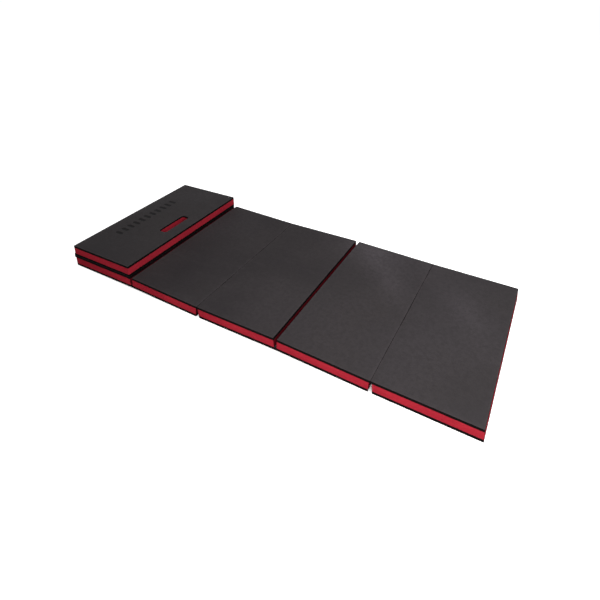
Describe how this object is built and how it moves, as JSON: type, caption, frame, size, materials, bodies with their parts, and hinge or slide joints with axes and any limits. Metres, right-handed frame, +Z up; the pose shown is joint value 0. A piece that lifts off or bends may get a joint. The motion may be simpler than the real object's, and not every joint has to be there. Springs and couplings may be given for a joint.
{
  "type": "folding exercise mat",
  "caption": "Fan-folding floor mat of foam panels, a red core between black skins, with a hand slot in the end panel that lies folded over.",
  "frame": {"origin": "bottom centre of the mat's bounding box, on the floor, as it lies with the handle panel folded over", "axes": "+X along the mat from the folded handle panel to the other end, +Y across it away from the front edge, +Z up"},
  "size_m": [1.4719, 0.6, 0.0893],
  "materials": {
    "black_skin": "matt",
    "black_web": "matt",
    "red_core": "matt"
  },
  "bodies": {
    "panel_6": {"panel_6_bottom_skin": "black_skin", "panel_6_core": "red_core", "panel_6_top_skin": "black_skin"},
    "panel_5": {"panel_5_bottom_skin": "black_skin", "panel_5_core": "red_core", "panel_5_top_skin": "black_skin", "crease_5_6_web": "black_web"},
    "panel_4": {"panel_4_bottom_skin": "black_skin", "panel_4_core": "red_core", "panel_4_top_skin": "black_skin", "crease_4_5_web": "black_web"},
    "panel_3": {"panel_3_bottom_skin": "black_skin", "panel_3_core": "red_core", "panel_3_top_skin": "black_skin", "crease_3_4_web": "black_web"},
    "panel_2": {"panel_2_bottom_skin": "black_skin", "panel_2_core": "red_core", "panel_2_top_skin": "black_skin", "crease_2_3_web": "black_web"},
    "panel_1": {"panel_1_bottom_skin": "black_skin", "panel_1_core": "red_core", "panel_1_top_skin": "black_skin", "crease_1_2_web": "black_web"}
  },
  "joints": [
    {"name": "crease_5_6", "type": "hinge", "parent": "panel_6", "child": "panel_5", "pos_m": [0.44721, 0, 0.04215], "axis": [0, 1, 0], "range_deg": [0, 179], "deforming": ["crease_5_6_web"]},
    {"name": "crease_4_5", "type": "hinge", "parent": "panel_5", "child": "panel_4", "pos_m": [0.15152, 0, 0.005], "axis": [0, -1, 0], "range_deg": [0, 178], "deforming": ["crease_4_5_web"]},
    {"name": "crease_3_4", "type": "hinge", "parent": "panel_4", "child": "panel_3", "pos_m": [-0.14417, 0, 0.04215], "axis": [0, 1, 0], "range_deg": [0, 178], "deforming": ["crease_3_4_web"]},
    {"name": "crease_2_3", "type": "hinge", "parent": "panel_3", "child": "panel_2", "pos_m": [-0.43987, 0, 0.005], "axis": [0, -1, 0], "range_deg": [0, 178], "deforming": ["crease_2_3_web"]},
    {"name": "crease_1_2", "type": "hinge", "parent": "panel_2", "child": "panel_1", "pos_m": [-0.73556, 0, 0.04215], "axis": [0, -1, 0], "range_deg": [0, 179], "deforming": ["crease_1_2_web"]}
  ],
  "couplings": [
    {"joint": "crease_4_5", "follows": "crease_5_6", "ratio": 0.99441},
    {"joint": "crease_3_4", "follows": "crease_5_6", "ratio": 0.99441},
    {"joint": "crease_2_3", "follows": "crease_5_6", "ratio": 0.99441}
  ]
}
